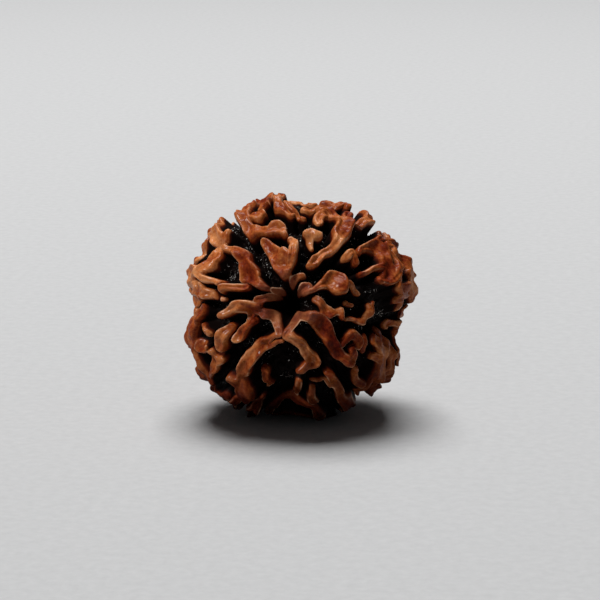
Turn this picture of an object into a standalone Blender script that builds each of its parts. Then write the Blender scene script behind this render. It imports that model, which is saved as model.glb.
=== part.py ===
"""A four mukhi rudraksha bead: the ridged stone of one fruit, pierced from mouth to tail.

Metres, +Z up. The bead lies on its side on a small flat spot, its mouth facing -Y and
tipped up. The origin is on the surface that it rests on, under the middle of its box.
"""

import math

import bmesh
import bpy
import numpy as np

MM = 0.001

# Driving dimensions of the bead
WIDTH = 22.0 * MM  # side to side
HEIGHT = 21.6 * MM  # across the other way, square to the channel
LENGTH = 20.1 * MM  # mouth to tail
RIDGE_HEIGHT = 2.0 * MM  # crests over the floor of the furrows
CHANNEL_RADIUS = 0.6 * MM  # natural channel from mouth to tail
MOUTH_TILT = math.radians(14.3)  # the mouth looks up by this much as the bead lies
FLAT_DEPTH = 0.43 * MM  # taken off the lowest crests where the bead rests
SPHERE_STEPS = 7  # times that the icosphere is divided
MOST_TRIANGLES = 11200  # of the finished surface

# How a ridge is shaped across its width
WALL_FOOT = 0.38 * MM  # the wall ends this far outside the drawn edge
WALL_TOP = 0.08 * MM  # and this far inside it
JOIN_SOFTNESS = 0.11 * MM  # how softly neighbouring ridges run together
TOP_SOFTNESS = 0.25 * MM  # how softly their heights do
WAVER = 0.11 * MM  # how far a ridge wanders from its drawn place
LIP = 0.09 * MM  # how far a crest leans out over its wall
MEAN_RADIUS = 10.6 * MM  # turns distances over the surface into angles

# Round the spot that it rests on the crests are worn even: 1 - cosine of the worn spot's reach
FOOT_CALM = 0.06

# Share of the drawn half width that stays crest, inside the rounding of its edge
CREST_SHARE = 0.81

# The furrows that give the bead its four faces: degrees round the mouth
FURROWS = (48.0, 128.0, 226.0, 305.0)

# Swellings and hollows round the bead's girth: degrees round the mouth, mm outward, spread
LOBES = (
    (17, 0.45, 12),
    (-12, -1.80, 12),
    (-50, 0.10, 9),
    (-72, 0.50, 9),
    (-90, -0.90, 18),
    (-111, 0.75, 9),
    (-132, 0.75, 11),
    (-163, 0.45, 9),
    (-178, -0.80, 7),
    (165, 0.25, 8),
    (134, 0.70, 7),
    (110, -0.30, 11),
    (84, -1.10, 10),
    (64, -0.40, 8),
)

# Ridges of the mouth side, as (height share, places). A place is degrees right of the
# mouth and above it, measured over the surface, and half the crest's width in mm.
RIDGES = (
    # North face, left of its middle
    (1.00, ((-14.6, 34.5, 0.55), (-11.6, 31, 0.66), (-8, 25.5, 0.86), (-4.8, 20.5, 0.75),
            (-3, 16.5, 0.40))),
    (1.00, ((-0.8, 37.4, 0.28), (1.5, 34, 0.42), (2, 29, 0.52), (1.8, 24, 0.60), (0.5, 19.5, 0.50),
            (0, 16.5, 0.32))),
    (0.97, ((-3.5, 26, 0.85), (-2.2, 20.5, 0.80))),
    (1.00, ((-25.4, 44, 0.85), (-20.5, 43.8, 0.76), (-14.5, 42.4, 0.48), (-9.8, 43.6, 0.62),
            (-7, 41.8, 0.48), (-4.4, 39, 0.24))),
    (1.00, ((-25, 41, 0.60), (-31, 50, 0.68), (-36, 58, 0.75), (-42, 67, 0.80), (-49, 77, 0.80))),
    (1.00, ((-31, 55, 0.60), (-27, 55.5, 0.58), (-23.5, 55.3, 0.85))),
    (1.00, ((-11, 61.6, 0.60), (-5.8, 56, 0.46), (-2.2, 52.6, 0.32))),
    (0.96, ((-8, 69, 0.40), (-0.6, 61.9, 0.38), (3.6, 55.9, 0.34), (4.8, 52.5, 0.28))),
    (1.00, ((-12, 63, 0.42), (-15, 71, 0.42), (-17, 82, 0.50))),
    (1.00, ((-23, 65, 0.46), (-28, 74, 0.80), (-31, 85, 0.90))),
    # North face, right of its middle
    (1.00, ((12, 22, 0.26), (14.6, 25, 0.54), (18.6, 28.8, 0.60), (23.6, 33.4, 0.52),
            (26.5, 39.5, 0.78), (29, 46, 1.08), (30, 51, 1.04))),
    (1.00, ((30, 52, 0.86), (24.5, 54.3, 0.58), (18.8, 57.4, 0.70), (14.6, 55.2, 0.62),
            (14.2, 51, 0.52))),
    (0.92, ((8.2, 41.8, 0.34), (11, 41.2, 0.48), (14.4, 40, 0.38))),
    (0.60, ((11, 39, 0.30), (12, 33, 0.22))),
    (0.97, ((16, 63.5, 0.55), (21, 65, 0.65), (25, 60.5, 0.45))),
    (0.95, ((31.5, 58.5, 0.46), (33, 62, 0.58))),
    (0.80, ((38, 53.5, 0.40), (42.5, 54, 0.45))),
    (1.00, ((43, 55, 0.42), (46, 60, 0.72), (50, 69, 0.85))),
    (0.50, ((1.6, 13.2, 0.36), (5, 14.2, 0.36), (8.8, 16.2, 0.28))),
    # East face, beside the mouth
    (0.55, ((6.4, 8.0, 0.36), (9.5, 9.4, 0.55), (12, 11, 0.40))),
    (0.98, ((10, 6.4, 0.30), (14.6, 8.2, 0.30), (20.4, 12.4, 0.64), (25.6, 13.8, 1.18),
            (28.3, 11.2, 1.16))),
    (0.72, ((16, 2.4, 0.40), (19, 0.6, 0.52), (22, -2.5, 0.66))),
    (0.92, ((22.5, -3.8, 0.66), (27, -3.3, 0.28), (29.8, -3.4, 0.30), (31, -5.6, 0.24))),
    (1.00, ((13, -6.6, 0.50), (17.5, -9, 0.92), (21, -14, 0.95), (24, -19.6, 0.72),
            (28.4, -25.6, 0.60), (32.4, -30, 0.55), (36, -31.3, 0.60), (37.8, -28.4, 0.42),
            (37, -25, 0.34))),
    (0.98, ((31, -21.6, 0.28), (34, -18.2, 0.42), (38, -17.8, 0.50), (41.2, -20.6, 0.50),
            (40.4, -23, 0.34))),
    (0.90, ((45.8, -18, 0.26), (45.4, -26.4, 0.28))),
    # East face, the ear
    (0.96, ((31, 27.2, 0.40), (34.4, 30, 0.46), (35.6, 26, 0.38))),
    (0.98, ((40, 33.2, 0.30), (45.5, 37.4, 0.60), (50.5, 40, 0.72), (56, 38.2, 0.80))),
    (1.00, ((55, 36.5, 0.70), (55.9, 30.5, 0.54), (57.8, 24.5, 0.70), (56, 19, 0.64),
            (52.8, 15.8, 0.36))),
    (0.98, ((56, 25, 0.48), (49.5, 22.9, 0.32), (43.6, 21, 0.24), (40, 20.2, 0.16))),
    (1.00, ((58, 39, 0.50), (63, 35.8, 0.45), (65.4, 30, 0.46), (64.6, 23.6, 0.50), (61.2, 19, 0.46),
            (57.5, 17.2, 0.36))),
    (0.90, ((54, 46, 0.40), (58, 50.5, 0.50), (64, 57, 0.60))),
    (0.92, ((62, 43.5, 0.45), (68, 43.5, 0.55))),
    # East face, the open middle and the rim
    (0.62, ((36.4, 14, 0.28), (38.6, 10.8, 0.24), (41.2, 8.6, 0.14))),
    (0.52, ((33.4, 1.4, 0.34), (36.4, 1, 0.24))),
    (0.66, ((34.6, -8, 0.12), (40, -9, 0.20), (45.2, -8.8, 0.28), (48.8, -5.6, 0.27),
            (50.4, -1, 0.22), (51, 3, 0.12))),
    (0.62, ((47.8, 0.4, 0.24), (48.8, -5, 0.24))),
    (0.94, ((64.4, 17.4, 0.28), (65.6, 13.6, 0.60), (71, 12, 0.70), (77, 13.4, 0.65))),
    (0.90, ((66, 5.6, 0.40), (71, 6, 0.62), (72.4, 1, 0.50))),
    (1.00, ((67, 38.6, 0.45), (73, 34.6, 0.80), (79, 27, 1.40), (83, 17, 1.15), (85, 8, 0.60))),
    # East face, below
    (0.98, ((52, -20, 0.38), (56.4, -23, 0.66), (60.4, -29.6, 0.88), (60.4, -37.6, 0.88),
            (56.8, -45.4, 0.76), (51.6, -51.6, 0.62), (46, -54.4, 0.42))),
    (0.85, ((52, -31, 0.42), (57, -33, 0.50))),
    (0.92, ((38.8, -37, 0.28), (40.6, -42, 0.36), (42.6, -47, 0.36), (45.2, -50, 0.34))),
    (0.96, ((58.6, -16.6, 0.30), (63.2, -23, 0.34), (66.4, -28.6, 0.34))),
    (1.00, ((63, -17, 0.40), (68.6, -27, 0.45), (70.6, -36, 0.55), (67.6, -44.6, 0.55),
            (63, -48.6, 0.45))),
    (0.98, ((60, -54.6, 0.40), (66, -53, 0.52), (73, -48, 0.60))),
    (0.92, ((44, -58.6, 0.36), (50, -61, 0.58), (57, -60, 0.50))),
    # South face, round the mouth and its right bank
    (0.80, ((0.2, -16, 0.40), (2.8, -12, 0.46), (6.4, -8.2, 0.42), (12, -6.6, 0.46))),
    (1.00, ((0.4, -16.4, 0.42), (4, -18.8, 0.52), (8, -23.6, 0.62), (12, -29, 0.72),
            (14.6, -33.4, 0.74))),
    (0.86, ((14, -34, 0.60), (10.4, -36.4, 0.36), (6.8, -37.8, 0.20))),
    (0.96, ((22, -39, 0.22), (26, -43.4, 0.46), (28.6, -48.6, 0.52), (30.4, -54, 0.48),
            (34.4, -59.4, 0.62), (38, -66, 0.62), (40, -75, 0.60))),
    (0.80, ((22, -44.4, 0.20), (25.6, -47, 0.32))),
    (0.55, ((13.4, -45.8, 0.14), (20, -45.6, 0.16))),
    # South face, its left bank
    (0.96, ((-4.6, -16, 0.28), (-9.8, -19.6, 0.36), (-13.6, -22.8, 0.68), (-17.6, -27.2, 0.72),
            (-22, -31.8, 0.76), (-25.2, -37, 0.70), (-26.8, -39.6, 0.50))),
    (0.92, ((-12, -24.2, 0.42), (-8, -23.6, 0.32), (-4.6, -21, 0.26), (-2.6, -20, 0.20))),
    (0.96, ((-36, -45, 0.42), (-32, -46.4, 0.58), (-27.6, -48, 0.82), (-26.8, -53, 0.88),
            (-28, -57.2, 0.58))),
    (0.90, ((-28, -42.6, 0.42), (-28, -47, 0.55))),
    (0.72, ((-13, -41, 0.56), (-12.2, -44.6, 0.38), (-10.6, -48, 0.28), (-13, -51, 0.16))),
    # South face, below
    (0.94, ((-20, -79, 0.40), (-15, -72, 0.40), (-9, -66.6, 0.36), (-2, -63.8, 0.40),
            (5, -63.4, 0.46), (12, -65, 0.50), (16.4, -69.4, 0.50), (19, -78, 0.50))),
    (0.66, ((4.4, -60, 0.34), (5.4, -52, 0.30), (6.2, -46, 0.20))),
    (0.74, ((14.6, -61, 0.42), (13.4, -55, 0.40), (14, -50.4, 0.28))),
    (0.88, ((-18, -57, 0.30), (-22, -64, 0.50), (-28, -73, 0.60), (-34, -84, 0.60))),
    (0.90, ((-36, -60, 0.45), (-42, -66, 0.60), (-46, -74, 0.60))),
    (0.92, ((-42, -57, 0.40), (-50, -60, 0.55), (-57, -62, 0.60))),
    # West face, beside the mouth
    (0.80, ((-18.4, -3.6, 0.42), (-14.6, -6.2, 0.46), (-9.6, -7.6, 0.46), (-6, -10.4, 0.46),
            (-4.4, -14.6, 0.42))),
    (0.42, ((-9, 4.6, 0.30), (-13.6, 3.4, 0.50), (-17.6, 3.0, 0.50))),
    (0.40, ((-6.4, 8.6, 0.30), (-9.4, 7.6, 0.42))),
    (1.00, ((-17, -1, 0.36), (-20.4, -1.6, 0.50), (-25, -2.9, 0.64), (-29.6, -3.4, 0.58),
            (-33.2, -5.6, 0.36), (-36.4, -7.2, 0.24))),
    (0.98, ((-20.4, -11, 0.42), (-23.8, -13.8, 0.57), (-27, -17.4, 0.58), (-29, -19.6, 0.50))),
    (0.62, ((-21.6, -5.6, 0.50), (-23, -10, 0.50))),
    (0.98, ((-32.2, -13.4, 0.32), (-35.2, -17, 0.54), (-38, -21.4, 0.72), (-39, -25.2, 0.58))),
    (0.96, ((-45.6, -30, 0.40), (-45.8, -35.2, 0.70), (-47.6, -40.4, 0.60), (-50.6, -44.4, 0.36))),
    (0.88, ((-41, -33.4, 0.36), (-44, -33.6, 0.36))),
    # West face, the bank of the furrow above it
    (1.00, ((-12.6, 8.6, 0.20), (-17, 11.6, 0.56), (-21.2, 15.6, 0.92), (-25, 20, 0.92),
            (-27.6, 25.6, 0.72), (-31.6, 30, 0.56), (-38, 32.4, 0.36), (-43, 34, 0.36), (-46, 38, 0.42))),
    (0.97, ((-26.2, 13.4, 0.40), (-24.4, 17, 0.60))),
    (0.98, ((-35, 7.2, 0.36), (-30, 7.7, 0.44), (-24.8, 9.6, 0.44))),
    (1.00, ((-46, 39, 0.42), (-41.4, 40.4, 0.56))),
    (1.00, ((-49.6, 34, 0.52), (-50.2, 28.2, 1.04), (-49.8, 23.2, 0.84), (-54.2, 18, 0.44),
            (-57.2, 15.4, 0.34))),
    (1.00, ((-47.6, 40.6, 0.55), (-52, 41, 0.85), (-56.4, 49, 0.92), (-60, 58, 0.80))),
    (0.98, ((-57, 15.6, 0.38), (-52, 14.6, 0.40), (-47, 12.6, 0.34), (-42, 10.8, 0.28),
            (-36.6, 10.2, 0.24))),
    (0.96, ((-53.8, 9.6, 0.30), (-53, 6.8, 0.50), (-50, 4.4, 0.58), (-46, 3, 0.46), (-43.2, 2.6, 0.22))),
    (0.55, ((-40, 2.4, 0.16), (-36.6, 2.8, 0.14))),
    # West face, the rim
    (0.98, ((-53.6, -5, 0.58), (-58.6, -10, 0.92), (-64.6, -17, 0.92), (-66.2, -26, 0.94),
            (-64.6, -34, 0.78))),
    (0.88, ((-50.6, -14.4, 0.42), (-47.4, -17.4, 0.44))),
    (0.88, ((-52, -27.6, 0.30), (-59, -28.4, 0.60))),
    (0.97, ((-64.6, -34, 0.72), (-61, -40, 0.60), (-57.2, -46, 0.52), (-53.6, -50.4, 0.38))),
    (0.94, ((-61.6, -52, 0.46), (-69, -50, 0.60))),
    (0.98, ((-60, 57, 0.36), (-65.6, 49, 0.62), (-70.4, 41, 0.80), (-72, 33, 0.62))),
    (0.98, ((-59, 20, 0.44), (-66, 17.6, 0.86), (-74, 17, 0.90))),
    (0.94, ((-57.6, 3, 0.46), (-62, 8, 0.72), (-70, 9, 0.60))),
    (0.96, ((-74.4, -12, 0.42), (-79, -19, 0.76), (-77.4, -28, 0.56))),
    # Foot, a broken ring round the weight for the bead to rest on
    (1.00, ((-22, -96, 0.50), (-11, -91.5, 0.75), (6, -90.5, 0.80), (19, -94, 0.85), (27, -102, 0.80),
            (23, -111, 0.60))),
    (1.00, ((10.5, -117, 0.60), (1, -118, 0.80), (-13, -116, 0.85), (-24, -109, 0.85),
            (-28, -101, 0.60))),
    (1.00, ((-2, -92, 0.50), (-5, -101, 0.65), (4, -108, 0.60), (8, -112, 0.40))),
)

# The net of ridges on the side away from the mouth
NET_SEED = 44
NET_PLACES = 380  # over a whole sphere, of which the bare part keeps its share
NET_FROM = 52.0  # degrees from the mouth at which the net may start
NET_JITTER = 0.06  # in radii
NET_CLEAR = 1.75 * MM  # between its places and the drawn ridges
FURROW_CLEAR = 1.6 * MM  # between its places and a furrow's middle
NET_REACH = 2.9 * MM  # longest ridge of the net
NET_KEPT = 0.58  # share of the possible ridges that grew


def smooth(share):
    """The S-shaped step from 0 to 1 as share goes from 0 to 1."""
    share = np.clip(share, 0.0, 1.0)
    return share * share * (3.0 - 2.0 * share)


def unit(vectors):
    return vectors / np.linalg.norm(vectors, axis=-1, keepdims=True)


def on_sphere(right, up):
    """The direction that lies so many degrees right of the mouth and above it, over the surface."""
    reach = np.radians(np.hypot(right, up))
    turn = np.arctan2(up, right)
    return np.stack([np.sin(reach) * np.cos(turn), np.sin(reach) * np.sin(turn), np.cos(reach)], -1)


def swept(places, halves, step=0.45 * MM):
    """Directions and half widths along a smooth line: a Catmull-Rom spline put back on the sphere."""
    rows = np.column_stack([places, halves])
    rows = np.vstack([2 * rows[0] - rows[1], rows, 2 * rows[-1] - rows[-2]])
    pieces = []
    for a, b, c, d in zip(rows, rows[1:], rows[2:], rows[3:]):
        count = max(2, int(np.linalg.norm(c[:3] - b[:3]) * MEAN_RADIUS / step))
        t = np.linspace(0.0, 1.0, count, endpoint=False)[:, None]
        pieces.append(
            0.5
            * (2 * b + (c - a) * t + (2 * a - 5 * b + 4 * c - d) * t**2 + (3 * b - 3 * c + d - a) * t**3)
        )
    pieces.append(rows[-2:-1])
    line = np.vstack(pieces)
    return unit(line[:, :3]), line[:, 3]


def drawn_ridges():
    """The ridges of the table, as (directions, half widths in metres, height share)."""
    made = []
    for share, places in RIDGES:
        table = np.array(places, float)
        made.append((*swept(on_sphere(table[:, 0], table[:, 1]), CREST_SHARE * table[:, 2] * MM), share))
    return made


def furrow_gap(directions):
    """Distance over the surface to the middle of the nearest furrow, which runs from mouth to tail."""
    gaps = []
    for turn in np.radians(FURROWS):
        beside = directions @ np.array([-math.sin(turn), math.cos(turn), 0.0])
        ahead = directions @ np.array([math.cos(turn), math.sin(turn), 0.0])
        gaps.append(np.where(ahead > 0, np.abs(beside), 9.0))
    return np.min(gaps, axis=0) * MEAN_RADIUS


def face_number(directions):
    """Which of the four faces a direction is on."""
    turn = np.degrees(np.arctan2(directions[:, 1], directions[:, 0])) % 360.0
    return np.searchsorted(FURROWS, turn) % len(FURROWS)


def bank_ridges(draw):
    """Broken ridges along both sides of each furrow, from beside the drawn ridges to the tail."""
    made = []
    for furrow in FURROWS:
        for side in (-1, 1):
            start = 84.0 + draw.uniform(0.0, 8.0)
            while start < 160.0:
                end = min(start + draw.uniform(22.0, 44.0), 168.0)
                along = np.radians(np.linspace(start, end, 6))
                offset = 1.5 * MM + draw.uniform(-0.25, 0.45, 6) * MM
                turn = math.radians(furrow) + side * offset / (MEAN_RADIUS * np.sin(along))
                places = np.stack(
                    [np.sin(along) * np.cos(turn), np.sin(along) * np.sin(turn), np.cos(along)], -1
                )
                halves = draw.uniform(0.34, 0.72, 6) * MM
                made.append((*swept(places, halves), draw.uniform(0.90, 1.0)))
                start = end + draw.uniform(7.0, 12.0)
    return made


def net_ridges(draw, others):
    """Short bent ridges between neighbours of a jittered spiral of places, where nothing else grows."""
    count = np.arange(NET_PLACES)
    height = 1.0 - (2.0 * count + 1.0) / NET_PLACES
    turn = count * math.pi * (3.0 - math.sqrt(5.0))
    flat = np.sqrt(1.0 - height**2)
    places = np.stack([flat * np.cos(turn), flat * np.sin(turn), height], -1)
    places = unit(places + draw.normal(0.0, NET_JITTER, places.shape))
    taken = np.vstack([line for line, _, _ in others])
    near = np.degrees(np.arccos(np.clip(places @ taken.T, -1, 1))).min(axis=1)
    free = near > math.degrees(NET_CLEAR / MEAN_RADIUS)
    free &= places[:, 2] < math.cos(math.radians(NET_FROM))
    free &= furrow_gap(places) > FURROW_CLEAR
    places = places[free]
    faces = face_number(places)
    gaps = np.arccos(np.clip(places @ places.T, -1, 1)) * MEAN_RADIUS
    made = []
    for a in range(len(places)):
        lone = True
        for b in np.argsort(gaps[a])[1:5]:
            if b < a and not lone:
                continue
            if gaps[a, b] > NET_REACH or faces[a] != faces[b] or draw.random() > NET_KEPT:
                continue
            lone = False
            middle = unit(places[a] + places[b] + draw.normal(0.0, 0.05, 3))
            halves = draw.uniform((0.30, 0.26, 0.30), (0.66, 0.52, 0.66)) * MM
            line = swept(np.stack([places[a], middle, places[b]]), halves)
            made.append((*line, draw.uniform(0.86, 1.0)))
        if lone:
            halves = draw.uniform(0.35, 0.65, 2) * MM
            beside = unit(places[a] + draw.normal(0.0, 0.07, 3))
            made.append((*swept(np.stack([places[a], beside]), halves), draw.uniform(0.80, 1.0)))
    return made


def waves(directions, seed, pitch, count=24):
    """Smooth noise of about unit size: a sum of plane waves in seeded directions, pitch long."""
    draw = np.random.default_rng(seed)
    ways = unit(draw.normal(size=(count, 3))) * draw.uniform(0.7, 1.4, (count, 1))
    phases = draw.uniform(0.0, 2 * math.pi, count)
    turns = directions @ ways.T * (2 * math.pi * MEAN_RADIUS / pitch) + phases
    return np.cos(turns).sum(axis=1) * math.sqrt(2.0 / count)


def ridge_field(directions, ridges):
    """For each direction: distance outside the nearest crest's edge, height share, and the way outward."""
    weight = np.full(len(directions), 1e-30)
    top_weight = np.full(len(directions), 1e-30)
    top = np.zeros(len(directions))
    away = np.zeros_like(directions)
    for line, halves, share in ridges:
        middle = unit(line.mean(axis=0))
        widest = np.arccos(np.clip(line @ middle, -1, 1)).max() + (halves.max() + 1.6 * MM) / MEAN_RADIUS
        close = np.flatnonzero(directions @ middle > math.cos(min(widest, math.pi)))
        if not len(close):
            continue
        starts, spans = line[:-1], np.diff(line, axis=0)
        along = (directions[close] @ spans.T - (starts * spans).sum(axis=1)) / (spans**2).sum(axis=1)
        along = np.clip(along, 0.0, 1.0)
        offset = directions[close][:, None, :] - starts - along[:, :, None] * spans
        half = halves[:-1] + along * np.diff(halves)
        gaps = np.linalg.norm(offset, axis=2) * MEAN_RADIUS - half
        nearest = gaps.argmin(axis=1)
        rows = np.arange(len(close))
        gap, offset, half = gaps[rows, nearest], offset[rows, nearest], half[rows, nearest]
        offset *= MEAN_RADIUS / np.maximum(half, np.linalg.norm(offset, axis=1) * MEAN_RADIUS)[:, None]
        pull = np.exp(-gap / JOIN_SOFTNESS)
        weight[close] += pull
        away[close] += pull[:, None] * offset
        pull = np.exp(-gap / TOP_SOFTNESS)
        top_weight[close] += pull
        top[close] += pull * share
    return -JOIN_SOFTNESS * np.log(weight), top / top_weight, away / weight[:, None]


def envelope(directions):
    """Radius that the crests reach: an ellipsoid, waisted along each furrow and lobed round its girth."""
    halves = np.array([WIDTH, HEIGHT, LENGTH]) / 2
    radius = 1.0 / np.linalg.norm(directions / halves, axis=1)
    waist = np.exp(-((furrow_gap(directions) / (2.2 * MM)) ** 2))
    turn = np.degrees(np.arctan2(directions[:, 1], directions[:, 0]))
    lobes = sum(
        out * np.exp(-((((turn - middle + 180.0) % 360.0 - 180.0) / spread) ** 2))
        for middle, out, spread in LOBES
    )
    girth = smooth((np.hypot(directions[:, 0], directions[:, 1]) - 0.70) / 0.25)
    return radius - 0.25 * MM * waist + girth * lobes * MM + 0.12 * MM * waves(directions, 3, 9 * MM)


def mouth_drop(directions):
    """How far the surface falls away into the mouth, and into the smaller tail."""
    reach = np.degrees(np.arccos(np.clip(directions[:, 2], -1, 1)))
    mouth = 3.6 * MM * (1.0 - smooth((reach - 4.0) / 10.5))
    tail = 3.0 * MM * (1.0 - smooth((180.0 - reach - 5.0) / 6.0))
    return mouth + tail


def wavered(directions):
    """The same directions pushed a little to and fro, so that no ridge keeps an even edge."""
    push = [
        WAVER * waves(directions, 31 + axis, 2.6 * MM)
        + 0.35 * WAVER * waves(directions, 41 + axis, 1.1 * MM)
        for axis in range(3)
    ]
    return unit(directions + np.stack(push, -1) / MEAN_RADIUS)


def bead_surface(directions, ridges):
    """Points of the bead's skin in its own axes (right, up, towards the mouth), in metres.

    Radius = crest envelope - fall into the mouth - depth of the floor, raised by the S-shaped
    wall of the nearest ridge. A crest leans out over its wall.
    """
    gap, share, away = ridge_field(wavered(directions), ridges)
    wall = smooth((WALL_FOOT - gap) / (WALL_FOOT + WALL_TOP))
    steady = smooth((1.0 - directions @ -bead_axes()[:, 2] - FOOT_CALM) / FOOT_CALM)
    crest = share * (1.0 + steady * 0.09 * waves(directions, 5, 3.4 * MM))
    reach = np.degrees(np.arccos(np.clip(directions[:, 2], -1, 1)))
    floor = RIDGE_HEIGHT * (1.0 - 0.22 * smooth((reach - 45.0) / 35.0))
    floor = floor * (1.0 + 0.10 * waves(directions, 7, 4.5 * MM))
    floor = floor + 0.22 * MM * np.exp(-((furrow_gap(directions) / (0.28 * MM)) ** 2))
    radius = envelope(directions) - mouth_drop(directions) - floor
    radius = radius + wall * (floor - RIDGE_HEIGHT * (1.0 - crest))
    lean = LIP * wall * wall * smooth((gap + 0.9 * MM) / (0.7 * MM))
    outward = away - (away * directions).sum(axis=1, keepdims=True) * directions
    return directions * radius[:, None] + outward * lean[:, None]


def all_ridges():
    draw = np.random.default_rng(NET_SEED)
    ridges = drawn_ridges()
    ridges += bank_ridges(draw)
    return ridges + net_ridges(draw, ridges)


def bead_mesh():
    """The ridged skin: a fine icosphere moved onto the formula, turned the way the bead lies."""
    shape = bmesh.new()
    bmesh.ops.create_icosphere(shape, subdivisions=SPHERE_STEPS, radius=1.0)
    mesh = bpy.data.meshes.new("rudraksha_bead")
    shape.to_mesh(mesh)
    shape.free()
    flat = np.empty(len(mesh.vertices) * 3, np.float32)
    mesh.vertices.foreach_get("co", flat)
    own = bead_surface(unit(flat.reshape(-1, 3).astype(float)), all_ridges())
    placed = own @ bead_axes()
    low, high = placed.min(axis=0), placed.max(axis=0)
    shift = np.array([(low[0] + high[0]) / 2, (low[1] + high[1]) / 2, low[2] + FLAT_DEPTH])
    mesh.vertices.foreach_set("co", (placed - shift).astype(np.float32).ravel())
    mesh.update()
    return mesh, -shift


def bead_axes():
    """Rows: where the bead's right, up and mouth directions point as it lies."""
    tilt = MOUTH_TILT
    return np.array(
        [[1.0, 0.0, 0.0], [0.0, math.sin(tilt), math.cos(tilt)], [0.0, -math.cos(tilt), math.sin(tilt)]]
    )


def wood():
    """Hard brown endocarp, oiled and handled until its crests shine."""
    material = bpy.data.materials.new("rudraksha_wood")
    material.use_nodes = True
    shader = material.node_tree.nodes["Principled BSDF"]
    shader.inputs["Base Color"].default_value = (0.23, 0.075, 0.025, 1.0)
    shader.inputs["Roughness"].default_value = 0.38
    shader.inputs["Metallic"].default_value = 0.0
    return material


def cutter(name, into):
    """The object just made becomes a cutter: left out of renders, in a collection of its own."""
    tool = bpy.context.object
    tool.name = name
    tool.hide_render = True
    tool.display_type = "WIRE"
    for collection in list(tool.users_collection):
        collection.objects.unlink(tool)
    into.objects.link(tool)
    return tool


def cut(target, tool):
    boolean = target.modifiers.new(tool.name, "BOOLEAN")
    boolean.operation = "DIFFERENCE"
    boolean.object = tool


def main():
    for old in list(bpy.data.objects):
        bpy.data.objects.remove(old)
    parts = bpy.data.collections.new("rudraksha")
    cutters = bpy.data.collections.new("cutters")
    bpy.context.scene.collection.children.link(parts)
    bpy.context.scene.collection.children.link(cutters)

    mesh, centre = bead_mesh()
    mesh.materials.append(wood())
    mesh.shade_smooth()
    bead = bpy.data.objects.new("rudraksha_bead", mesh)
    parts.objects.link(bead)
    fewer = bead.modifiers.new("fewer triangles", "DECIMATE")
    fewer.ratio = MOST_TRIANGLES / len(mesh.polygons)

    # The channel runs from the mouth to the tail, through the middle of the bead
    bpy.ops.mesh.primitive_cylinder_add(vertices=24, radius=CHANNEL_RADIUS, depth=1.5 * LENGTH)
    channel = cutter("channel", cutters)
    channel.location = centre
    channel.rotation_euler = (math.pi / 2 - MOUTH_TILT, 0.0, 0.0)
    cut(bead, channel)

    # A handled bead is worn flat where its lowest crests touch the table
    bpy.ops.mesh.primitive_cube_add(size=2 * WIDTH, location=(0.0, 0.0, -WIDTH))
    cut(bead, cutter("table", cutters))


main()
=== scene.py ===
import math

import bpy
import numpy as np
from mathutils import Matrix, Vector


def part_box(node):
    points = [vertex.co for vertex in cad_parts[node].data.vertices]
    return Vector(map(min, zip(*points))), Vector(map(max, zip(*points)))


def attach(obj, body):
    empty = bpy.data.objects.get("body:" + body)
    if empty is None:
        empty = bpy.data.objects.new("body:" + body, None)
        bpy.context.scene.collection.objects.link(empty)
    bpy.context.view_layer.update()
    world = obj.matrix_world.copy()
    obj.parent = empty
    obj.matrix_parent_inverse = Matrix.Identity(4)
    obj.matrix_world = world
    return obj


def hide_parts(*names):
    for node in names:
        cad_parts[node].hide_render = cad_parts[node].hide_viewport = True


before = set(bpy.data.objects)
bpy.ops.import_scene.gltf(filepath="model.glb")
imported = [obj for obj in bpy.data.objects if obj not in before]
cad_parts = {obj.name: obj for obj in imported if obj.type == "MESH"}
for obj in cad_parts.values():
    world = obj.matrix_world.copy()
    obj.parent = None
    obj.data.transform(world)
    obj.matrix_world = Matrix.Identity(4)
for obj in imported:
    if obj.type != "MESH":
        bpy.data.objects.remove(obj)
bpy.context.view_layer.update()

# The stone of the fruit is one piece of hard wood that grew round the channel through it.
# Four furrows run from its mouth to its tail, and between them stand broken, winding
# ridges with crisp pale edges, partly worn and partly painted highlight, over a floor that
# stays nearly black with old oil; the walls darken down to it partly in painted shade.
MM = 0.001
WIDTH = 22.0 * MM  # side to side
HEIGHT = 21.6 * MM  # across the other way, square to the channel
LENGTH = 20.1 * MM  # mouth to tail
MEAN_RADIUS = 10.6 * MM  # turns distances over the surface into angles
MOUTH_TILT = math.radians(14.3)  # the mouth looks up by this much as the bead lies
FLAT_DEPTH = 0.43 * MM  # taken off the lowest crests where the bead rests
FOOT_CALM = 0.06  # 1 - cosine of how far round that spot the crests are worn even
UNEVEN = 0.12 * MM  # how far the whole stone is from regular
UNEVEN_PITCH = 9.0 * MM
WAIST_DEPTH = 0.25 * MM  # how far it is drawn in along a furrow
WAIST_WIDTH = 2.2 * MM
MOUTH_DEPTH = 3.6 * MM  # how far it falls away into the mouth
MOUTH_FALL = (4.0, 10.5)  # degrees from the axis to where the fall is full, and on to where it ends
TAIL_DEPTH = 3.0 * MM
TAIL_FALL = (5.0, 6.0)
RIDGE_HEIGHT = 2.0 * MM  # crests over the floor
SHALLOWER = 0.22  # share of that lost on the way from the mouth to the girth
SHALLOWER_FROM = 45.0  # degrees from the mouth
SHALLOWER_OVER = 35.0
FLOOR_UNEVEN = 0.10  # share of the depth that the floor swells and sinks by
FLOOR_PITCH = 4.5 * MM
SEAM_HEIGHT = 0.22 * MM  # the raised line in the middle of a furrow
SEAM_WIDTH = 0.28 * MM
CREST_SHARE = 0.81  # share of a ridge's drawn half width that is crest, inside its rounded edge
CREST_UNEVEN = 0.09  # share of the height that a crest swells and sinks by
CREST_PITCH = 3.4 * MM
WALL_FOOT = 0.38 * MM  # a ridge's wall ends this far outside the crest's edge
WALL_TOP = 0.08 * MM  # and this far inside it
LIP = 0.09 * MM  # how far a crest leans out over its wall
LIP_FROM = 0.9 * MM  # starting this far inside its edge
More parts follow.
